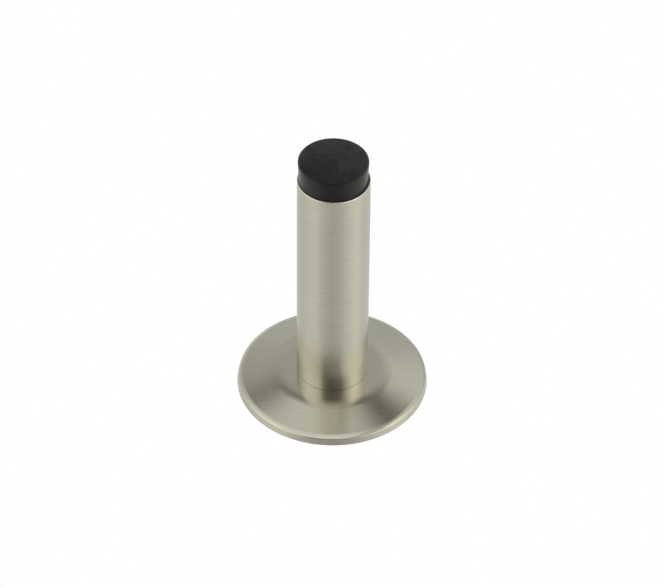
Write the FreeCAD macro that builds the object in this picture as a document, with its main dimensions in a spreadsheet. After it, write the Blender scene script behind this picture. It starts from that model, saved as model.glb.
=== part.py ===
import FreeCAD, Part
import os
import Sketcher

# Wall door stop with hidden fixings, in millimetres.
# The origin is the centre of the rose in the plane of the wall.
# +Z runs out of the wall along the barrel.

doc = FreeCAD.newDocument("wall_door_stop")
sheet = doc.addObject("Spreadsheet::Sheet", "Sizes")

SIZES = (
    # cover rose
    ("rose_diameter", 51.0, "rose across its rim, where it meets the wall"),
    ("rose_height", 4.8, "wall plane to the flat land that the barrel stands on"),
    ("rose_wall", 1.2, "thickness of the rose's metal"),
    ("rose_land_width", 5.2, "from the barrel's side to where the cone would meet the flat land"),
    ("rose_shoulder_radius", 14.0, "round between the cone and the land"),
    ("skirt_height", 1.9, "height of the rose's upright side"),
    ("skirt_taper", 0.33, "how far the side leans in over its height"),
    ("edge_band_width", 1.27, "rounded band between the side and the cone, along the radius"),
    ("edge_band_rise", 0.59, "rise of the rounded band"),
    ("rose_corner_radius", 0.25, "small round on top of the side"),
    ("rose_foot_radius", 0.1, "smaller round at the foot of the side"),
    # barrel
    ("barrel_diameter", 19.0, "outside of the tube"),
    ("barrel_wall", 1.0, "wall of the tube"),
    ("barrel_length", 65.9, "length of the tube"),
    ("mouth_radius", 0.2, "round on the tube's outer mouth edge"),
    ("edge_break", 0.15, "small chamfer on the other cut edges"),
    # buffer
    ("buffer_inset", 0.4, "how far the head's side lies inside the tube's outside"),
    ("buffer_head", 6.3, "how far the head stands out of the tube"),
    ("buffer_top_radius", 0.4, "round on the head's top edge"),
    ("stem_length", 14.0, "stem inside the tube"),
    ("rib_depth", 0.7, "how far a rib stands out of the stem to grip the bore"),
    ("rib_pitch", 4.0, "from one rib to the next"),
    ("rib_land", 0.8, "width of a rib where it grips the bore"),
    ("stem_bore", 7.0, "moulded core hole in the stem"),
    ("stem_bore_depth", 13.0, "depth of the core hole from the stem's end"),
    # plug in the foot of the barrel
    ("plug_length", 12.0, "length of the end plug"),
    ("plug_chamfer", 0.6, "lead-in at both ends of the plug"),
    # stud
    ("stud_diameter", 8.0, "outside of the M8 thread"),
    ("stud_length", 15.0, "length of the stud"),
    ("stud_chamfer", 0.9, "chamfer at both ends of the stud"),
    ("stud_recess", 0.3, "how far the stud's end stays off the wall plane"),
    ("thread_clearance", 0.03, "gap all round between a thread and its tapped hole"),
    # fixing plate
    ("plate_margin", 6.5, "from the rose's rim in to the edge of the plate behind it"),
    ("plate_thickness", 2.0, "thickness of the plate"),
    ("hub_wall", 2.0, "metal round the stud in the hub that centres the rose"),
    ("hub_stand_off", 0.3, "gap between the hub and the barrel's foot"),
    ("hub_clearance", 0.15, "gap all round between the hub and the rose"),
    ("screw_margin", 6.0, "from the edge of the plate in to the centre of a wall screw"),
    ("screw_hole", 4.2, "clearance hole for a 3.5 mm wall screw"),
    ("screw_head", 7.2, "countersink for the screw's head"),
)

BORE_RADIUS = "Sizes.barrel_diameter / 2 - Sizes.barrel_wall"
HUB_RADIUS = "Sizes.stud_diameter / 2 + Sizes.hub_wall"
PLATE_RADIUS = "Sizes.rose_diameter / 2 - Sizes.plate_margin"

SCREW_COUNT = 3
COUNTERSINK_ANGLE = 90
RIB_COUNT = 3
FULL_TURN = 360


def add_sizes():
    for row, (alias, value, meaning) in enumerate(SIZES, start=1):
        sheet.set(f"A{row}", alias)
        sheet.set(f"B{row}", str(value))
        sheet.set(f"C{row}", meaning)
        sheet.setAlias(f"B{row}", alias)
    doc.recompute()


def number(formula):
    """Value of a formula in the sheet's names, for a first position or for finding an edge."""
    result = sheet.evalExpression(formula)
    return float(getattr(result, "Value", result))


def new_body(label, foot="0"):
    """A body that is modelled from its own foot and stands at the given height."""
    body = doc.addObject("PartDesign::Body", label)
    body.Label = label
    body.setExpression(".Placement.Base.z", foot)
    return body


def origin_feature(body, role):
    return next(item for item in body.Origin.OriginFeatures if item.Role == role)


def new_sketch(body, name, role, height=None):
    sketch = body.newObject("Sketcher::SketchObject", name)
    sketch.AttachmentSupport = [(origin_feature(body, role), "")]
    sketch.MapMode = "FlatFace"
    if height is not None:
        sketch.setExpression(".AttachmentOffset.Base.z", height)
    return sketch


def pin_point(sketch, curve, end, formulas):
    """Holds a curve's end (1 start, 2 end) at a distance across and up that the sheet gives."""
    across, up = formulas
    for kind, formula, axis in (("DistanceX", across, -2), ("DistanceY", up, -1)):
        if formula == "0":
            sketch.addConstraint(Sketcher.Constraint("PointOnObject", curve, end, axis))
        else:
            index = sketch.addConstraint(
                Sketcher.Constraint(kind, -1, 1, curve, end, number(formula))
            )
            sketch.setExpression(f"Constraints[{index}]", formula)


def half_section(body, name, corners, round_from=None):
    """Closed outline on the XZ plane, each corner given by two formulas.

    The side that leaves corner round_from is an arc, tangent to the side after it.
    """
    sketch = new_sketch(body, name, "XZ_Plane")
    points = [FreeCAD.Vector(number(across), number(up), 0) for across, up in corners]
    count = len(points)
    for index, start in enumerate(points):
        end = points[(index + 1) % count]
        if index == round_from:
            beyond = points[index + 2]
            sketch.addGeometry(tangent_arc(start, end, beyond - end))
        else:
            sketch.addGeometry(Part.LineSegment(start, end))
    for index in range(count):
        after = (index + 1) % count
        joint = "Tangent" if index == round_from else "Coincident"
        sketch.addConstraint(Sketcher.Constraint(joint, index, 2, after, 1))
        pin_point(sketch, after, 1, corners[after])
    return sketch


def tangent_arc(start, end, leaving):
    """Arc from start to end that leaves end along the given direction."""
    normal = FreeCAD.Vector(-leaving.y, leaving.x, 0).normalize()
    chord = start - end
    radius = chord.dot(chord) / (2 * chord.dot(normal))
    centre = end + normal * radius
    middle = (start + end) * 0.5 - centre
    crown = centre + middle.normalize() * abs(radius)
    return Part.Arc(start, crown, end)


def turn(body, sketch, name):
    """Solid of revolution about the piece's own upright axis."""
    solid = body.newObject("PartDesign::Revolution", name)
    solid.Profile = sketch
    solid.ReferenceAxis = (sketch, ["V_Axis"])
    solid.Angle = FULL_TURN
    sketch.Visibility = False
    doc.recompute()
    return solid


def circles(body, name, diameters):
    """Sketch of circles about the origin, each diameter given by a formula."""
    sketch = new_sketch(body, name, "XY_Plane")
    for index, diameter in enumerate(diameters):
        sketch.addGeometry(
            Part.Circle(FreeCAD.Vector(), FreeCAD.Vector(0, 0, 1), number(diameter) / 2)
        )
        sketch.addConstraint(Sketcher.Constraint("Coincident", index, 3, -1, 1))
        size = sketch.addConstraint(
            Sketcher.Constraint("Diameter", index, number(diameter))
        )
        sketch.setExpression(f"Constraints[{size}]", diameter)
    return sketch


def pad(body, sketch, name, length):
    solid = body.newObject("PartDesign::Pad", name)
    solid.Profile = sketch
    solid.setExpression("Length", length)
    sketch.Visibility = False
    doc.recompute()
    return solid


def ring_edges(feature, *rings):
    """Names of the circular edges with the given radius and height formulas."""
    names = []
    for radius, height in rings:
        wanted = (number(radius), number(height))
        for index, edge in enumerate(feature.Shape.Edges, start=1):
            curve = edge.Curve
            if isinstance(curve, Part.Circle) and is_near(
                (curve.Radius, curve.Center.z), wanted
            ):
                names.append(f"Edge{index}")
    if len(names) != len(rings):
        raise RuntimeError(f"{feature.Name}: {len(names)} edges found of {len(rings)}")
    return names


def is_near(found, wanted, slack=1e-4):
    return all(abs(one - other) < slack for one, other in zip(found, wanted))


def dress(body, base, kind, name, size, *rings):
    """Fillet or chamfer on the named ring edges of a feature."""
    feature = body.newObject(f"PartDesign::{kind}", name)
    feature.Base = (base, ring_edges(base, *rings))
    feature.setExpression("Radius" if kind == "Fillet" else "Size", size)
    doc.recompute()
    return feature


def cover_rose():
    """Domed rose, open underneath, with a hole in the middle for the plate's hub."""
    rim = "Sizes.rose_diameter / 2"
    shoulder = "Sizes.barrel_diameter / 2 + Sizes.rose_land_width"
    top = "Sizes.rose_height"
    corner = f"{rim} - Sizes.skirt_taper"
    corner_height = "Sizes.skirt_height"
    cone_foot = f"{corner} - Sizes.edge_band_width"
    cone_foot_height = f"{corner_height} + Sizes.edge_band_rise"
    hole = f"{HUB_RADIUS} + Sizes.hub_clearance"
    wall = "Sizes.rose_wall"
    corners = (
        (rim, "0"),
        (corner, corner_height),
        (cone_foot, cone_foot_height),
        (shoulder, top),
        (hole, top),
        (hole, f"{top} - {wall}"),
        (shoulder, f"{top} - {wall}"),
        (cone_foot, f"{cone_foot_height} - {wall}"),
        (f"{corner} - {wall}", f"{corner_height} - {wall}"),
        (f"{rim} - {wall}", "0"),
    )
    body = new_body("cover_rose")
    section = half_section(body, "rose_section", corners, round_from=1)
    shell = turn(body, section, "rose_shell")
    shoulder_round = dress(
        body, shell, "Fillet", "rose_shoulder", "Sizes.rose_shoulder_radius", (shoulder, top)
    )
    top_round = dress(
        body,
        shoulder_round,
        "Fillet",
        "rose_corner",
        "Sizes.rose_corner_radius",
        (corner, corner_height),
    )
    dress(body, top_round, "Fillet", "rose_foot", "Sizes.rose_foot_radius", (rim, "0"))
    return body


def fixing_plate():
    """Plate with a tapped hub in the middle and countersunk screw holes round it."""
    body = new_body("fixing_plate")
    disc = pad(
        body,
        circles(body, "plate_outline", [f"2 * ({PLATE_RADIUS})"]),
        "plate_disc",
        "Sizes.plate_thickness",
    )
    hub_top = "Sizes.rose_height - Sizes.hub_stand_off"
    hub_outline = circles(body, "hub_outline", [f"2 * ({HUB_RADIUS})"])
    hub = pad(body, hub_outline, "plate_hub", hub_top)
    edges = dress(
        body,
        hub,
        "Chamfer",
        "plate_edges",
        "Sizes.edge_break",
        (PLATE_RADIUS, "Sizes.plate_thickness"),
        (PLATE_RADIUS, "0"),
        (HUB_RADIUS, hub_top),
    )

    centre = screw_centre(body)
    hole = body.newObject("PartDesign::Hole", "screw_hole")
    hole.Profile = centre
    doc.recompute()
    hole.ThreadType = "None"
    hole.DepthType = "ThroughAll"
    hole.HoleCutType = "Countersink"
    hole.HoleCutCountersinkAngle = COUNTERSINK_ANGLE
    hole.setExpression("Diameter", "Sizes.screw_hole")
    hole.setExpression("HoleCutDiameter", "Sizes.screw_head")
    centre.Visibility = False
    doc.recompute()
    check_cut(edges, hole)

    ring = body.newObject("PartDesign::PolarPattern", "screw_holes")
    ring.Originals = [hole]
    ring.Axis = (origin_feature(body, "Z_Axis"), [""])
    ring.Angle = FULL_TURN
    ring.Occurrences = SCREW_COUNT
    body.Tip = ring
    doc.recompute()
    check_cut(hole, ring)

    tapped = body.newObject("PartDesign::Pocket", "tapped_hole")
    tapped.Profile = circles(
        body, "tapped_outline", ["Sizes.stud_diameter + 2 * Sizes.thread_clearance"]
    )
    tapped.Type = "ThroughAll"
    tapped.Midplane = True
    tapped.Profile[0].Visibility = False
    doc.recompute()
    check_cut(ring, tapped)
    return body


def screw_centre(body):
    """Sketch on the plate's top face with one circle on the screw circle."""
    sketch = new_sketch(body, "screw_centre", "XY_Plane", "Sizes.plate_thickness")
    reach = f"{PLATE_RADIUS} - Sizes.screw_margin"
    sketch.addGeometry(
        Part.Circle(
            FreeCAD.Vector(0, number(reach), 0),
            FreeCAD.Vector(0, 0, 1),
            number("Sizes.screw_hole") / 2,
        )
    )
    pin_point(sketch, 0, 3, ("0", reach))
    size = sketch.addConstraint(
        Sketcher.Constraint("Diameter", 0, number("Sizes.screw_hole"))
    )
    sketch.setExpression(f"Constraints[{size}]", "Sizes.screw_hole")
    return sketch


def fixing_stud():
    """Threaded stud, drawn at the outside of its thread, with chamfered ends."""
    body = new_body("fixing_stud", "Sizes.stud_recess")
    rod = pad(
        body,
        circles(body, "stud_outline", ["Sizes.stud_diameter"]),
        "stud_rod",
        "Sizes.stud_length",
    )
    dress(
        body,
        rod,
        "Chamfer",
        "stud_ends",
        "Sizes.stud_chamfer",
        ("Sizes.stud_diameter / 2", "0"),
        ("Sizes.stud_diameter / 2", "Sizes.stud_length"),
    )
    return body


def barrel():
    """Drawn tube that stands on the rose's land, with a rounded mouth."""
    body = new_body("barrel", "Sizes.rose_height")
    tube = pad(
        body,
        circles(body, "barrel_outline", ["Sizes.barrel_diameter", f"2 * ({BORE_RADIUS})"]),
        "barrel_tube",
        "Sizes.barrel_length",
    )
    mouth = dress(
        body,
        tube,
        "Fillet",
        "barrel_mouth",
        "Sizes.mouth_radius",
        ("Sizes.barrel_diameter / 2", "Sizes.barrel_length"),
    )
    dress(
        body,
        mouth,
        "Chamfer",
        "barrel_edges",
        "Sizes.edge_break",
        ("Sizes.barrel_diameter / 2", "0"),
        (BORE_RADIUS, "0"),
        (BORE_RADIUS, "Sizes.barrel_length"),
    )
    return body


def barrel_end_plug():
    """Plug pressed flush into the tube's foot, tapped for the stud."""
    outside = BORE_RADIUS
    tapped = "Sizes.stud_diameter / 2 + Sizes.thread_clearance"
    lead = "Sizes.plug_chamfer"
    length = "Sizes.plug_length"
    corners = (
        (tapped, lead),
        (f"{tapped} + {lead}", "0"),
        (f"{outside} - {lead}", "0"),
        (outside, lead),
        (outside, f"{length} - {lead}"),
        (f"{outside} - {lead}", length),
        (f"{tapped} + {lead}", length),
        (tapped, f"{length} - {lead}"),
    )
    body = new_body("barrel_end_plug", "Sizes.rose_height")
    turn(body, half_section(body, "plug_section", corners), "plug_turned")
    return body


def buffer():
    """Rubber buffer: a head that covers the tube's mouth and a ribbed stem in its bore."""
    head = "Sizes.barrel_diameter / 2 - Sizes.buffer_inset"
    head_top = "Sizes.stem_length + Sizes.buffer_head"
    core = f"{BORE_RADIUS} - Sizes.rib_depth"
    corners = [
        ("Sizes.stem_bore / 2", "0"),
        *rib_corners(core),
        (core, "Sizes.stem_length"),
        (head, "Sizes.stem_length"),
        (head, head_top),
        ("0", head_top),
        ("0", "Sizes.stem_bore_depth"),
        ("Sizes.stem_bore / 2", "Sizes.stem_bore_depth"),
    ]
    stem_end = "Sizes.rose_height + Sizes.barrel_length - Sizes.stem_length"
    body = new_body("buffer", stem_end)
    solid = turn(body, half_section(body, "buffer_section", corners), "buffer_moulding")
    dress(
        body,
        solid,
        "Fillet",
        "buffer_top_edge",
        "Sizes.buffer_top_radius",
        (head, head_top),
    )
    return body


def rib_corners(core):
    """Corners of the ribs, from the stem's end upwards: a lead-in slope, a land and a square back."""
    slope = "Sizes.rib_pitch / 2"
    corners = []
    for rib in range(RIB_COUNT):
        foot = f"{rib} * Sizes.rib_pitch" if rib else "0"
        corners += [
            (core, foot),
            (BORE_RADIUS, f"{foot} + {slope}"),
            (BORE_RADIUS, f"{foot} + {slope} + Sizes.rib_land"),
            (core, f"{foot} + {slope} + Sizes.rib_land"),
        ]
    return corners


def check_cut(before, after):
    """A cut that takes nothing away shows no error, so the volumes are compared."""
    if after.Shape.Volume >= before.Shape.Volume:
        raise RuntimeError(f"{after.Name} cuts nothing")


def check_and_export(bodies):
    failed = [
        item.Name for item in doc.Objects if {"Invalid", "Error"} & set(item.State)
    ]
    if failed:
        raise RuntimeError(f"features that failed: {failed}")
    for body in bodies:
        shape = body.Shape
        if shape.isNull() or not shape.isValid() or len(shape.Solids) != 1:
            raise RuntimeError(f"{body.Label} is not one valid solid")
    os.makedirs("parts", exist_ok=True)
    for body in bodies:
        body.Shape.exportStep(f"parts/{body.Label}.step")
        box = body.Shape.optimalBoundingBox()
        print(
            f"{body.Label}: {body.Shape.Volume:.1f} mm3, "
            f"{box.XLength:.2f} x {box.YLength:.2f} mm, "
            f"from {box.ZMin:.2f} to {box.ZMax:.2f} mm up"
        )


add_sizes()
pieces = [
    cover_rose(),
    fixing_plate(),
    fixing_stud(),
    barrel(),
    barrel_end_plug(),
    buffer(),
]
doc.recompute()
check_and_export(pieces)
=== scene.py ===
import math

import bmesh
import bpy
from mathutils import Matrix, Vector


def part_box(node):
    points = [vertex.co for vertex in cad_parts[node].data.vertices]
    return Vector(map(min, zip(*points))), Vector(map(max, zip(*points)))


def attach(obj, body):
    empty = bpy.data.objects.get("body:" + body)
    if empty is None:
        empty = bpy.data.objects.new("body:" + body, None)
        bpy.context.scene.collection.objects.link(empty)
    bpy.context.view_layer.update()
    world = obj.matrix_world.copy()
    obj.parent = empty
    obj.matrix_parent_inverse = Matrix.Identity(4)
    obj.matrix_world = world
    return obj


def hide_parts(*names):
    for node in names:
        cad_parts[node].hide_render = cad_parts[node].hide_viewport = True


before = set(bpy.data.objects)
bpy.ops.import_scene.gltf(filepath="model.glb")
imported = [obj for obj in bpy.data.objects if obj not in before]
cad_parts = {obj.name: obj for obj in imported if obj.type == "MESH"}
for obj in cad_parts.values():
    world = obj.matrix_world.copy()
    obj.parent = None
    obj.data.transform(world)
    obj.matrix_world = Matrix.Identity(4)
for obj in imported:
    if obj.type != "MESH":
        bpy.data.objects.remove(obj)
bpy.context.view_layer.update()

# %% [markdown]
# A wall door stop, finished for the camera
#
# The solids of the stop are loaded above: a domed rose, a tube, a rubber buffer
# and the hidden fixings. They keep their shape and place. This lesson gives four
# of them the finish that the real piece has, and puts a mesh with more detail in
# the place of the other two. Everything is in metres, the rose stands at z = 0
# and the tube points up.

MM = 0.001
scene = bpy.context.scene

# %% [markdown]
# Formulas in a node tree
#
# A shader is a graph of small nodes. It could be built with one call for each
# node and one for each link, but a long sum of Math nodes is hard to read that
# way. One small class wraps an output socket instead. Its operators add the Math
# node and return the new output, so a mask reads like a line of algebra. Every
# other node comes from one method, `make`, that first sets the node's settings
# and then its sockets.

# %% A socket that can stand in a formula
class Wire:
    """An output socket of a node tree. Numbers and other wires combine with it."""

    def __init__(self, tree, socket=None):
        self.tree = tree
        self.socket = socket

    def make(self, kind, settings=None, sockets=None, out=0):
        """Adds one node: its type, its settings, then values or links of its sockets."""
        node = self.tree.nodes.new(kind)
        for name, value in (settings or {}).items():
            if name == "stops":
                self.set_stops(node.color_ramp, value)
            else:
                setattr(node, name, value)
        for name, value in (sockets or {}).items():
            if isinstance(value, Wire):
                self.tree.links.new(value.socket, node.inputs[name])
            else:
                node.inputs[name].default_value = value
        if out is None:
            return node
        return Wire(self.tree, node.outputs[out])

    @staticmethod
    def set_stops(ramp, stops):
        """Gives a colour ramp its stops, each a place from 0 to 1 and a colour."""
        while len(ramp.elements) < len(stops):
            ramp.elements.new(0.5)
        for element, (place, color) in zip(ramp.elements, stops):
            element.position = place
            element.color = color

    def math(self, operation, first, second=0.0):
        """One Math node. Both of its values are given, so that a number may come first."""
        return self.make("ShaderNodeMath", {"operation": operation}, {0: first, 1: second})

    def __add__(self, other):
        return self.math("ADD", self, other)

    def __radd__(self, other):
        return self.math("ADD", other, self)

    def __sub__(self, other):
        return self.math("SUBTRACT", self, other)

    def __rsub__(self, other):
        return self.math("SUBTRACT", other, self)

    def __mul__(self, other):
        return self.math("MULTIPLY", self, other)

    def __rmul__(self, other):
        return self.math("MULTIPLY", other, self)

    def __truediv__(self, other):
        return self.math("DIVIDE", self, other)

    def __rtruediv__(self, other):
        return self.math("DIVIDE", other, self)

    def __pow__(self, other):
        return self.math("POWER", self, other)

    def __rpow__(self, other):
        return self.math("POWER", other, self)

    def larger(self, limit):
        """The larger of this value and another."""
        return self.math("MAXIMUM", self, limit)

    def ramp(self, low, high, start=0.0, end=1.0):
        """A soft edge: start where this value is below low, end where it is above high."""
        return self.make(
            "ShaderNodeMapRange",
            {"interpolation_type": "SMOOTHSTEP", "clamp": True},
            {"Value": self, "From Min": low, "From Max": high, "To Min": start, "To Max": end},
        )

    def split(self):
        """The three numbers of a vector."""
        node = self.make("ShaderNodeSeparateXYZ", None, {"Vector": self}, out=None)
        return [Wire(self.tree, output) for output in node.outputs]

    def stretched(self, scale):
        """This vector, multiplied along each axis."""
        return self.make("ShaderNodeVectorMath", {"operation": "MULTIPLY"}, {0: self, 1: scale})

    def noise(self, scale=1.0, detail=2.0, roughness=0.5):
        """Grey noise around 0.5, read at this vector."""
        return self.make(
            "ShaderNodeTexNoise",
            {"noise_dimensions": "3D"},
            {"Vector": self, "Scale": scale, "Detail": detail, "Roughness": roughness},
        )

    def mix_colors(self, first, second):
        """Blends two colours by this value."""
        return self.make(
            "ShaderNodeMix",
            {"data_type": "RGBA"},
            {"Factor": self, 6: first, 7: second},
            out=2,
        )


print("reflected operators:", [name for name in vars(Wire) if name.startswith("__r")])

# %% [markdown]
# The camera
#
# The stop was photographed from the front and about 42 degrees above, with a
# long lens from roughly a metre away. A long lens is what keeps the tube's
# sides almost parallel. A camera could be aimed with a Track To constraint, but
# this frame leans by half a degree, so plain rotations are used: a tilt down
# from level and a roll about the camera's own axis.

# %% Camera from the viewing angle, the distance and the lens
PHOTO_WIDTH = 665
VIEW_ELEVATION = math.radians(42.204)
VIEW_DISTANCE = 0.985
FOCAL_PIXELS = 3738.4
VIEW_ROLL = math.radians(0.506)
AIM = Vector((-0.000088, 0.0, 0.031105))
SENSOR_WIDTH = 36.0
NEAR_LIMIT = 0.01
FAR_LIMIT = 50.0

lens = bpy.data.cameras.new("camera_lens")
lens.sensor_width = SENSOR_WIDTH
lens.lens = FOCAL_PIXELS * SENSOR_WIDTH / PHOTO_WIDTH
lens.clip_start = NEAR_LIMIT
lens.clip_end = FAR_LIMIT
camera = bpy.data.objects.new("camera", lens)
scene.collection.objects.link(camera)
backwards = Vector((0.0, -math.cos(VIEW_ELEVATION), math.sin(VIEW_ELEVATION)))
tilt = Matrix.Rotation(math.pi / 2 - VIEW_ELEVATION, 4, "X")
roll = Matrix.Rotation(VIEW_ROLL, 4, "Z")
camera.matrix_world = Matrix.Translation(AIM + backwards * VIEW_DISTANCE) @ tilt @ roll
scene.camera = camera
print("lens", round(lens.lens, 1), "mm, camera at", [round(value, 3) for value in camera.location])

# %% [markdown]
# The floor
#
# The stop stands on plain white. A lit floor would have a shadow edge and grey
# corners, so a large sheet that glows evenly takes its place. It shows to the
# camera alone, and the metal mirrors only the soft studio light of the next
# step. From below the sheet is clear, so that the underside can be looked at
# too. The plain "Standard" view keeps that white at full white.

# %% A white floor
FLOOR_REACH = 12.0
FLOOR_DROP = 0.05 * MM
FLOOR_CORNERS = [(-1, -1), (1, -1), (1, 1), (-1, 1)]
WHITE = (1, 1, 1, 1)

scene.view_settings.view_transform = "Standard"
scene.view_settings.look = "None"
floor_points = [(x * FLOOR_REACH, y * FLOOR_REACH, -FLOOR_DROP) for x, y in FLOOR_CORNERS]
floor_mesh = bpy.data.meshes.new("floor_sheet")
floor_mesh.from_pydata(floor_points, [], [(0, 1, 2, 3)])
floor = bpy.data.objects.new("floor", floor_mesh)
scene.collection.objects.link(floor)
floor.visible_diffuse = False
floor.visible_glossy = False
floor.visible_transmission = False
floor.visible_shadow = False
print("floor", FLOOR_REACH * 2, "m across")

# %% The floor's paper
paper = bpy.data.materials.new("white_paper")
paper.use_nodes = True
paper.node_tree.nodes.clear()
start = Wire(paper.node_tree)
glow = start.make("ShaderNodeEmission", None, {"Color": WHITE, "Strength": 1.0})
clear = start.make("ShaderNodeBsdfTransparent")
from_below = start.make("ShaderNodeNewGeometry", out="Backfacing")
sheet = start.make("ShaderNodeMixShader", None, {0: from_below, 1: glow, 2: clear})
start.make("ShaderNodeOutputMaterial", None, {"Surface": sheet}, out=None)
floor_mesh.materials.append(paper)
print("paper nodes:", len(paper.node_tree.nodes))

# %% [markdown]
# Soft studio light
#
# Satin metal has almost no colour of its own: it shows blurred pictures of the
# lamps and cards round it. Those could be built as glowing planes, but then each
# edge and each change of brightness would be one more object to place. So the
# light is drawn as a room seen from the stop, by direction alone. A large softbox
# hangs overhead, bright walls stand all round, and a dark gap runs between the
# two. The camera's side stays dark, and a pale table lies below. Each of them is
# a soft mask times its brightness, because lamps with cloth in front of them have
# no hard edges.
#
# A separate fitting program worked these levels and edges out from the
# photograph's brightness. Most stand here as the fit gave them, rounded, and a
# few were changed.

# %% Directions as seen from the stop
# these keep the divisions finite, straight up and along the horizon
NEVER_ZERO = 1e-6
LOWEST_CEILING = 0.02

world = bpy.data.worlds.new("studio")
world.use_nodes = True
world.node_tree.nodes.clear()
scene.world = world
start = Wire(world.node_tree)
direction = start.make("ShaderNodeTexCoord", out="Generated")
east, north, up = direction.split()
# "front" is 1 towards the camera and -1 behind the stop, "side" is 1 on its right
flat = (east * east + north * north + NEVER_ZERO) ** 0.5
front = (0.0 - north) / flat
side = east / flat
# the same as a turn round the stop: 0.5 is the camera's side, 0.75 its right
turn = side.math("ARCTAN2", side, front) * (0.5 / math.pi) + 0.5
# a ceiling one unit up: how far east and north a direction meets it
ceiling_east = east / up.larger(LOWEST_CEILING)
ceiling_north = north / up.larger(LOWEST_CEILING)
print("direction nodes:", len(world.node_tree.nodes))

# %% Brightness in degrees round the stop, 0 being the camera's side
BRIGHTEST = 1.5
TABLE = [
    (-180, 0.72), (-150, 0.72), (-120, 0.675), (-100, 0.73), (-80, 0.78), (-60, 0.80), (-30, 0.84),
    (0, 0.785), (30, 0.855), (60, 0.80), (80, 0.88), (100, 0.78), (120, 0.74), (150, 0.705), (180, 0.72),
]
HIGH_WALLS = [
    (-180, 0.54), (-150, 0.47), (-120, 0.795), (-90, 1.29), (-70, 1.29), (-52, 1.14), (-38, 0.97),
    (-26, 0.03), (-14, 0.03), (0, 0.12), (14, 0.07), (26, 1.5), (38, 1.04), (52, 1.08),
    (70, 1.48), (90, 1.37), (120, 0.73), (150, 0.745), (180, 0.54),
]
LOW_WALLS = [
    (-180, 0.40), (-135, 0.66), (-90, 0.80), (-50, 0.69), (-20, 0.275), (0, 0.325), (20, 0.43),
    (50, 0.99), (90, 0.935), (135, 0.40), (180, 0.40),
]


def around(levels):
    """Brightness by direction round the stop, from levels in degrees."""
    stops = []
    for degrees, level in levels:
        grey = level / BRIGHTEST
        stops.append((degrees / 360 + 0.5, (grey, grey, grey, 1)))
    return turn.make("ShaderNodeValToRGB", {"stops": stops}, {"Fac": turn}) * BRIGHTEST


print("directions:", len(TABLE), "for the table,", len(HIGH_WALLS) + len(LOW_WALLS), "for the walls")

# %% The table, with a dark patch towards the camera
dark_patch = front.ramp(0.49, 0.985) * up.ramp(-0.61, -0.09, start=0.215, end=0.715)
table = around(TABLE) - dark_patch
# brighter towards its far edge, where "up" comes near 0
table = table + up.ramp(-0.5, -0.05, end=0.07)
print("nodes with the table:", len(world.node_tree.nodes))

# %% The softbox overhead, with its edges as places on the ceiling
NORTH_EDGE_SLANT = 0.33
FADE_SLANT = 0.38
SOUTH_EDGE_BEND = 0.20

# dimmer on its east half
softbox = ceiling_east.ramp(0.21, 0.29, start=0.92, end=0.60)
# its north edge runs at a slant, and it fades towards that edge
north_edge = ceiling_north + ceiling_east * NORTH_EDGE_SLANT
softbox = softbox * north_edge.ramp(0.33, 0.70, start=1.0, end=0.0)
fade = ceiling_north + ceiling_east * FADE_SLANT
softbox = softbox * fade.ramp(-0.10, 0.86, start=1.0, end=0.55)
# its south edge bends back on both sides
off_middle = ceiling_east.math("ABSOLUTE", ceiling_east)
south_edge = ceiling_north + off_middle * SOUTH_EDGE_BEND
softbox = softbox * south_edge.ramp(-1.06, -0.36)
print("nodes with the softbox:", len(world.node_tree.nodes))

# %% Walls, seen where the dark gap round the softbox doesn't hide them
EAST_GAP_SLANT = 0.26

# past the gap to the north, to the east and to the west
open_wall = ceiling_north.ramp(0.32, 1.18)
open_wall = open_wall.larger((ceiling_east + ceiling_north * EAST_GAP_SLANT).ramp(0.41, 0.73))
open_wall = open_wall.larger(ceiling_east.ramp(-0.59, -0.51, start=1.0, end=0.0))
# further down the low walls take over, brightest at their foot
low = up.ramp(0.20, 0.62, start=1.0, end=0.0)
sky = softbox.larger(around(HIGH_WALLS) * open_wall) * (1.0 - low)
sky = sky + around(LOW_WALLS) * up.ramp(0.0, 0.92, start=1.515, end=0.68) * low
print("nodes with the walls:", len(world.node_tree.nodes))

# %% The whole room, a little cooler low down behind the stop
ROOM_LIGHT = (0.981, 1.0, 0.914, 1)
COOL_LIGHT = (0.957, 1.0, 0.947, 1)

above = up.ramp(-0.02, 0.02)
room = above * sky + (1.0 - above) * table
cool = front.ramp(-0.5, 0.1, start=1.0, end=0.0) * up.ramp(0.35, 0.85, start=1.0, end=0.0)
tint = cool.mix_colors(ROOM_LIGHT, COOL_LIGHT)
light = start.make("ShaderNodeBackground", None, {"Color": tint, "Strength": room})
# the camera itself sees plain white
backdrop = start.make("ShaderNodeBackground", None, {"Color": WHITE, "Strength": 1.0})
seen = start.make("ShaderNodeLightPath", out="Is Camera Ray")
surround = start.make("ShaderNodeMixShader", None, {0: seen, 1: light, 2: backdrop})
start.make("ShaderNodeOutputWorld", None, {"Surface": surround}, out=None)
print("room nodes:", len(world.node_tree.nodes))

# %% [markdown]
# Starting a finish
#
# A finish could be a photograph wrapped round the piece, but noise read at each
# point of the piece needs no file and no unwrapping, and stays sharp close up.
# Each finish here is one Principled shader. What is the same all over is a plain
# number or colour on the shader itself, and only what changes over the surface
# comes from nodes: colour, roughness and a bump.

# %% Helpers for a finish
def new_finish(name):
    """A material with an empty tree, and the position on the piece in metres."""
    material = bpy.data.materials.new(name)
    material.use_nodes = True
    material.node_tree.nodes.clear()
    first = Wire(material.node_tree)
    return material, first.make("ShaderNodeTexCoord", out="Object")


def finish(material, sockets):
    """Closes the tree with a Principled shader."""
    first = Wire(material.node_tree)
    surface = first.make("ShaderNodeBsdfPrincipled", None, sockets)
    first.make("ShaderNodeOutputMaterial", None, {"Surface": surface}, out=None)
    print(material.name, "has", len(material.node_tree.nodes), "nodes")


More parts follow.
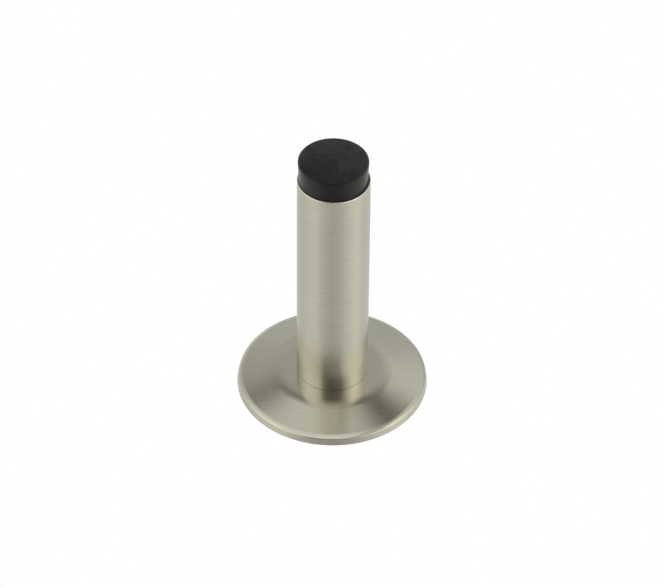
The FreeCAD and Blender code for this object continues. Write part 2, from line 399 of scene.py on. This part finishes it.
def bump(height, depth):
    """Normal that leans as if the surface stood out by height times depth, in metres."""
    return height.make("ShaderNodeBump", None, {"Height": height, "Distance": depth})


def paint(node, material):
    """Gives one of the loaded solids its finish."""
    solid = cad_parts[node]
    solid.data.materials.clear()
    solid.data.materials.append(material)
    print(node, "wears", material.name)


print("helpers ready:", [helper.__name__ for helper in (new_finish, finish, bump, paint)])

# %% [markdown]
# Satin nickel on the tube
#
# The tube was brushed while it turned, so its scratches run round it. They blur
# reflections along the tube far more than round it. Thousands of fine lines in a
# bump could do that, but they are finer than a pixel and would flicker. The
# shader's anisotropy blurs in the same way, turned by a quarter so that the wide
# blur points along the tube. Fine streaks add the scratches that can be seen.
# The round at the mouth's edge is painted a brighter nickel, a painted
# highlight, and its roughness is a little lower there.

# %% The tube's finish
TUBE_STREAKS = (110.0, 110.0, 7000.0)
TUBE_BANDS = (170.0, 170.0, 1900.0)
TUBE_PATCHES = 70.0
TUBE_DULL = (0.577, 0.551, 0.480, 1)
TUBE_BRIGHT = (0.659, 0.629, 0.547, 1)
# painted highlight: the brighter nickel on the round at the mouth's edge
TUBE_PAINTED_HIGHLIGHT = (0.715, 0.684, 0.598, 1)
TUBE_SCRATCH_DEPTH = 0.002 * MM

barrel_nickel, place = new_finish("satin_nickel_turned")
streaks = place.stretched(TUBE_STREAKS).noise(detail=3.0)
bands = place.stretched(TUBE_BANDS).noise(detail=2.0)
patches = place.noise(scale=TUBE_PATCHES, detail=2.0)
tone = (streaks * 0.55 + bands * 0.25 + patches * 0.2).ramp(0.3, 0.7)
nickel = tone.mix_colors(TUBE_DULL, TUBE_BRIGHT)
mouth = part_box("barrel")[1][2]
# painted highlight: from half a millimetre below the mouth upwards the nickel is painted brighter, and
# its roughness is lower
mouth_highlight = place.split()[2].ramp(mouth - 0.5 * MM, mouth - 0.1 * MM)
finish(
    barrel_nickel,
    {
        "Base Color": mouth_highlight.mix_colors(nickel, TUBE_PAINTED_HIGHLIGHT),
        "Metallic": 1.0,
        "Roughness": 0.185 + streaks * 0.04 + patches * 0.03 - mouth_highlight * 0.05,
        "Anisotropic": 0.67,
        "Anisotropic Rotation": 0.25,
        "Normal": bump(streaks * 0.5 + bands, TUBE_SCRATCH_DEPTH),
    },
)
paint("barrel", barrel_nickel)

# %% [markdown]
# Satin nickel on the rose
#
# The rose is brushed flat, in one direction, and a little finer, so it mirrors
# the lamps more clearly than the tube. Its streaks run from left to right. It
# could share the tube's finish, but that anisotropy follows circles round the
# axis, which straight brushing doesn't have. So here streaks and a plain, low
# roughness do the work.

# %% The rose's finish
ROSE_STREAKS = (280.0, 2600.0, 2600.0)
ROSE_PATCHES = 60.0
ROSE_DULL = (0.598, 0.571, 0.497, 1)
ROSE_BRIGHT = (0.650, 0.621, 0.540, 1)
ROSE_SCRATCH_DEPTH = 0.008 * MM

rose_nickel, place = new_finish("satin_nickel_brushed")
streaks = place.stretched(ROSE_STREAKS).noise(detail=3.0)
patches = place.noise(scale=ROSE_PATCHES, detail=2.0)
tone = (streaks * 0.6 + patches * 0.4).ramp(0.3, 0.7)
finish(
    rose_nickel,
    {
        "Base Color": tone.mix_colors(ROSE_DULL, ROSE_BRIGHT),
        "Metallic": 1.0,
        "Roughness": 0.15 + streaks * 0.03 + patches * 0.02,
        "Normal": bump(streaks, ROSE_SCRATCH_DEPTH),
    },
)
paint("cover_rose", rose_nickel)

# %% [markdown]
# Turned meshes
#
# Two pieces get a mesh of their own in place of their solid. Both are round. A
# Screw modifier could spin an outline about the axis, but code that makes the
# rings one by one keeps every radius at hand and lets the head sit off centre.
# One helper then makes a piece of such a mesh: it turns the faces outwards,
# shades them smoothly with hard edges only where the surface really turns a
# corner, and says which solid the mesh stands for.

# %% Rings and the belts between them
RING_STEPS = 144


def ring_of(mesh, radius, height, shift=0.0):
    """One ring of points about the axis, in millimetres; a single point on the axis."""
    if radius == 0:
        return [mesh.verts.new((shift * MM, 0.0, height * MM))]
    ring = []
    for step in range(RING_STEPS):
        angle = 2 * math.pi * step / RING_STEPS
        spot = (radius * math.cos(angle) + shift, radius * math.sin(angle), height)
        ring.append(mesh.verts.new([value * MM for value in spot]))
    return ring


def join_rings(mesh, upper, lower):
    """A belt of faces between two rings, or a fan where one of them is a point."""
    for step in range(RING_STEPS):
        after = (step + 1) % RING_STEPS
        if len(upper) == 1:
            mesh.faces.new((upper[0], lower[step], lower[after]))
        elif len(lower) == 1:
            mesh.faces.new((upper[after], upper[step], lower[0]))
        else:
            mesh.faces.new((upper[step], lower[step], lower[after], upper[after]))


def rounded_corner(middle, radius, first, last, steps=6):
    """Points of a round about a middle, from one angle in degrees to another."""
    points = []
    for step in range(steps + 1):
        angle = math.radians(first + (last - first) * step / steps)
        points.append((middle[0] + radius * math.cos(angle), middle[1] + radius * math.sin(angle)))
    return points


print("a ring has", RING_STEPS, "points")

# %% The helper that makes a piece of a mesh
HARD_EDGE = math.radians(32)


def replace_solid(name, mesh, node, material):
    """Makes a piece of the mesh and puts it in the place of a node's solid."""
    bmesh.ops.recalc_face_normals(mesh, faces=mesh.faces)
    for face in mesh.faces:
        face.smooth = True
    for edge in mesh.edges:
        edge.smooth = edge.calc_face_angle() < HARD_EDGE
    data = bpy.data.meshes.new(name)
    mesh.to_mesh(data)
    mesh.free()
    data.materials.append(material)
    piece = bpy.data.objects.new(name, data)
    scene.collection.objects.link(piece)
    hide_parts(node)
    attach(piece, "root")
    print(name, "stands for", node, "with", len(data.polygons), "faces")


print("edges stay hard from", round(math.degrees(HARD_EDGE)), "degrees")

# %% [markdown]
# Black rubber
#
# The buffer is moulded and slightly glossy, with a fine grain from the mould. A
# dark glossy colour alone would look like plastic. Rubber this dark is nearly
# all reflection, strongest where the side turns away from the eye, and what
# tells it apart is its wear. Its flat top has met doors and dust, so it is a
# little greyer and duller there, in soft blotches. The top is also painted
# greyer towards the back right and the back left, a painted reflection, and a
# painted highlight runs along the round of its back edge. Masks made from noise
# and from the place on the piece put the wear and the painted light where they belong.

# %% Where the rubber is mottled, and where reflection is painted on it
# painted reflection: how fast the grey grows to the back right, per metre
REFLECTION_GROWTH_RIGHT = 11.0
# painted reflection: how fast the grey grows to the back left, per square metre, and how far in front of
# the axis it starts
REFLECTION_GROWTH_LEFT = 3800.0
REFLECTION_START_LEFT = 2.0 * MM
# how many millimetres below the highest point the top's finish starts, and where it is full
TOP_START = 0.55
TOP_FULL = 0.15

buffer_low, buffer_high = [point[2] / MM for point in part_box("buffer")]
rubber, place = new_finish("moulded_black_rubber")
east, north, up = place.split()
from_axis = (east * east + north * north) ** 0.5
top = up.ramp((buffer_high - TOP_START) * MM, (buffer_high - TOP_FULL) * MM)
grain = place.noise(scale=2600.0, detail=3.0, roughness=0.6)
blotches = place.noise(scale=330.0, detail=4.0, roughness=0.6)
cloud = place.noise(scale=120.0, detail=1.0)
# painted reflection: grey that grows towards the back right of the top
painted_reflection_right = (east + north) * REFLECTION_GROWTH_RIGHT
# painted reflection: grey that grows towards the back left of the top
painted_reflection_left = (east * -1.0).larger(0.0) * (north + REFLECTION_START_LEFT).larger(0.0) * REFLECTION_GROWTH_LEFT
# real mottle in soft blotches, plus the painted reflection
mottle_and_painted_reflection = (blotches * 0.5 + cloud * 0.3 + grain * 0.2 + painted_reflection_right + painted_reflection_left).ramp(0.36, 0.72)
# painted highlight along the round at the head's back edge
painted_edge_highlight = from_axis.ramp(8.3 * MM, 8.8 * MM) * north.ramp(-6.0 * MM, 1.0 * MM)
painted_edge_highlight = painted_edge_highlight * up.ramp(mouth + 5.0 * MM, mouth + 5.8 * MM)
print("the buffer reaches from", round(buffer_low, 2), "to", round(buffer_high, 2), "mm")

# %% The buffer's finish
RUBBER_BLACK = (0.0030, 0.0029, 0.0034, 1)
RUBBER_GREY = (0.0272, 0.0264, 0.0286, 1)
RUBBER_SHINE = (0.935, 0.900, 1.0, 1)
RUBBER_GRAIN_DEPTH = 0.004 * MM

# the mottle, the painted reflection and the painted edge highlight turn the black grey
grey = mottle_and_painted_reflection * (0.06 + top * 0.94) + painted_edge_highlight * 0.7
finish(
    rubber,
    {
        "Base Color": grey.mix_colors(RUBBER_BLACK, RUBBER_GREY),
        "Roughness": 0.21 + top * 0.16 + cloud * 0.05 + grain * 0.04,
        "IOR": 1.40,
        "Specular Tint": RUBBER_SHINE,
        "Normal": bump(grain, RUBBER_GRAIN_DEPTH),
    },
)

# %% [markdown]
# The buffer's shape
#
# Moulded rubber is never as exact as a turned solid. The head's top is slightly
# crowned, its side is drawn in a little towards the tube, and it sits about a
# tenth of a millimetre off centre. All its corners are soft. Below the mouth it
# keeps the plain ribbed stem that grips the bore. It could be a bevelled
# cylinder, but an outline of radius and height takes the crown, the waist, the
# thin rim and the ribs as they come, from the middle of the top downwards.

# %% The outline of the head, from the middle of its top down to the tube's mouth
HEAD_RADIUS = 9.15
WAIST_RADIUS = 9.0
HEAD_SHIFT = -0.13
CROWN = 0.08
CROWN_STEPS = 10
EDGE_ROUND = 0.38
HOLLOW = 0.3
RIM_THICKNESS = 0.05
# depth below the top, and the share of the head's extra radius that is left there
DRAWN_IN = ((1.4, 0.86), (2.4, 0.58), (3.4, 0.30), (4.4, 0.09), (5.3, 0.0))

seat = mouth / MM
head = []
for step in range(CROWN_STEPS):
    radius = (HEAD_RADIUS - EDGE_ROUND) * step / CROWN_STEPS
    head.append((radius, buffer_high - CROWN * (radius / HEAD_RADIUS) ** 2))
edge_middle = (HEAD_RADIUS - EDGE_ROUND, buffer_high - CROWN - EDGE_ROUND)
head += rounded_corner(edge_middle, EDGE_ROUND, first=90, last=0)
for drop, share in DRAWN_IN:
    head.append((WAIST_RADIUS + (HEAD_RADIUS - WAIST_RADIUS) * share, buffer_high - drop))
# a hollow corner that ends in a thin rim, pressed flat on the tube's mouth
hollow_middle = (WAIST_RADIUS + HOLLOW, seat + RIM_THICKNESS + HOLLOW)
head += rounded_corner(hollow_middle, HOLLOW, first=180, last=250, steps=4)
print("the head's outline has", len(head), "rings")

# %% The outline of the rim and the ribbed stem
RIM_RADIUS = 9.28
CORE_RADIUS = 7.8
GRIP_RADIUS = 8.49
RIB_COUNT = 3
RIB_PITCH = 4.0
RIB_TOP = 2.8
RIB_LAND_TOP = 2.75
RIB_LAND_FOOT = 2.05
CORE_HOLE_RADIUS = 3.5
CORE_HOLE_DEPTH = 13.0

rim = [(RIM_RADIUS, seat + RIM_THICKNESS), (RIM_RADIUS, seat)]
stem = [(CORE_RADIUS, seat)]
for rib in reversed(range(RIB_COUNT)):
    foot = buffer_low + rib * RIB_PITCH
    stem.append((CORE_RADIUS, foot + RIB_TOP))
    stem.append((GRIP_RADIUS, foot + RIB_LAND_TOP))
    stem.append((GRIP_RADIUS, foot + RIB_LAND_FOOT))
    stem.append((CORE_RADIUS, foot))
stem.append((CORE_HOLE_RADIUS, buffer_low))
stem.append((CORE_HOLE_RADIUS, buffer_low + CORE_HOLE_DEPTH))
stem.append((0, buffer_low + CORE_HOLE_DEPTH))
print("the stem's outline has", len(rim) + len(stem), "rings")

# %% The buffer's mesh
buffer_mesh = bmesh.new()
rings = [ring_of(buffer_mesh, radius, height, HEAD_SHIFT) for radius, height in head]
rings += [ring_of(buffer_mesh, radius, height) for radius, height in rim + stem]
for upper, lower in zip(rings, rings[1:]):
    join_rings(buffer_mesh, upper, lower)
replace_solid("rubber_buffer", buffer_mesh, "buffer", rubber)

# %% [markdown]
# Zinc plate and turned brass
#
# What hides under the rose is plain work: a zinc-plated plate and stud, and a
# brass plug as it came off the lathe. Both could share one plain grey, but the
# two metals are told apart by what was done to them. Zinc shows a faint cloudy
# spangle, which noise gives. The tool leaves even rings on turned brass, and a
# sine wave that runs out from the axis and along it makes them on the face and
# on the side.

# %% The zinc plate
ZINC_DARK = (0.52, 0.55, 0.58, 1)
ZINC_LIGHT = (0.66, 0.68, 0.69, 1)
SPANGLE_DEPTH = 0.004 * MM

zinc, place = new_finish("bright_zinc_plate")
spangle = place.noise(scale=900.0, detail=3.0)
patches = place.noise(scale=120.0, detail=2.0)
finish(
    zinc,
    {
        "Base Color": patches.mix_colors(ZINC_DARK, ZINC_LIGHT),
        "Metallic": 1.0,
        "Roughness": 0.28 + spangle * 0.16,
        "Normal": bump(spangle, SPANGLE_DEPTH),
    },
)
paint("fixing_plate", zinc)

# %% The turned brass
BRASS_DARK = (0.68, 0.50, 0.22, 1)
BRASS_LIGHT = (0.80, 0.62, 0.31, 1)
TOOL_WAVE = 9000.0
TOOL_MARK_DEPTH = 0.002 * MM

turned_brass, place = new_finish("turned_brass")
east, north, up = place.split()
from_axis = (east * east + north * north) ** 0.5
wave = from_axis * TOOL_WAVE + up * TOOL_WAVE
marks = wave.math("SINE", wave)
patches = place.noise(scale=150.0, detail=2.0)
finish(
    turned_brass,
    {
        "Base Color": patches.mix_colors(BRASS_DARK, BRASS_LIGHT),
        "Metallic": 1.0,
        "Roughness": 0.24 + patches * 0.12,
        "Normal": bump(marks, TOOL_MARK_DEPTH),
    },
)
paint("barrel_end_plug", turned_brass)

# %% [markdown]
# The stud's thread
#
# A metric thread is one ridge that climbs round the stud. Rings stacked on each
# other could look like one, but they would not climb. This mesh follows the real
# thread: its rows of points climb by one pitch a turn, so that the last column
# of each row meets the first column of the row one pitch higher. At both ends
# the rows are pressed flat into the chamfer and merged.

# %% The stud's rows of points
PITCH = 1.25
THREAD_DEPTH = 0.767
STUD_CHAMFER = 0.9
# the rows start this many turns below the stud, and are pressed flat on its end there
TURNS_BELOW = 2
# one turn: how far up the pitch each row lies, and the share of the depth it is cut
THREAD_POINTS = [(0.0, 1.0), (0.25, 1.0), (0.5625, 0.0), (0.6875, 0.0)]

stud_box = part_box("fixing_stud")
stud_low = stud_box[0][2] / MM
stud_high = stud_box[1][2] / MM
stud_radius = (stud_box[1][0] - stud_box[0][0]) / 2 / MM
turns = math.ceil((stud_high - stud_low) / PITCH) + TURNS_BELOW
stud_mesh = bmesh.new()
grid = []
for turn_number in range(turns + 1):
    for share, cut in THREAD_POINTS:
        row = []
        for step in range(RING_STEPS):
            angle = 2 * math.pi * step / RING_STEPS
            height = stud_low + PITCH * (turn_number + share - TURNS_BELOW + step / RING_STEPS)
            height = min(max(height, stud_low), stud_high)
            from_end = min(height - stud_low, stud_high - height)
            radius = min(stud_radius - THREAD_DEPTH * cut, stud_radius - STUD_CHAMFER + from_end)
            spot = (radius * math.cos(angle), radius * math.sin(angle), height)
            row.append(stud_mesh.verts.new([value * MM for value in spot]))
        grid.append(row)
print("rows of points:", len(grid))

# %% The stud's faces
MERGE_DISTANCE = 0.002 * MM

one_turn = len(THREAD_POINTS)
for number in range(len(grid) - 1):
    for step in range(RING_STEPS):
        if step + 1 < RING_STEPS:
            right = (grid[number + 1][step + 1], grid[number][step + 1])
        elif number + 1 + one_turn < len(grid):
            right = (grid[number + 1 + one_turn][0], grid[number + one_turn][0])
        else:
            continue
        stud_mesh.faces.new((grid[number][step], grid[number + 1][step], *right))
bmesh.ops.remove_doubles(stud_mesh, verts=stud_mesh.verts, dist=MERGE_DISTANCE)
open_edges = [edge for edge in stud_mesh.edges if len(edge.link_faces) == 1]
bmesh.ops.holes_fill(stud_mesh, edges=open_edges, sides=0)
stray = [edge for edge in stud_mesh.edges if len(edge.link_faces) != 2]
print("stud edges that don't join two faces:", len(stray))
replace_solid("threaded_stud", stud_mesh, "fixing_stud", zinc)

# %% [markdown]
# The limit on the meshes
#
# Finer meshes must not make the stop larger than its solids.
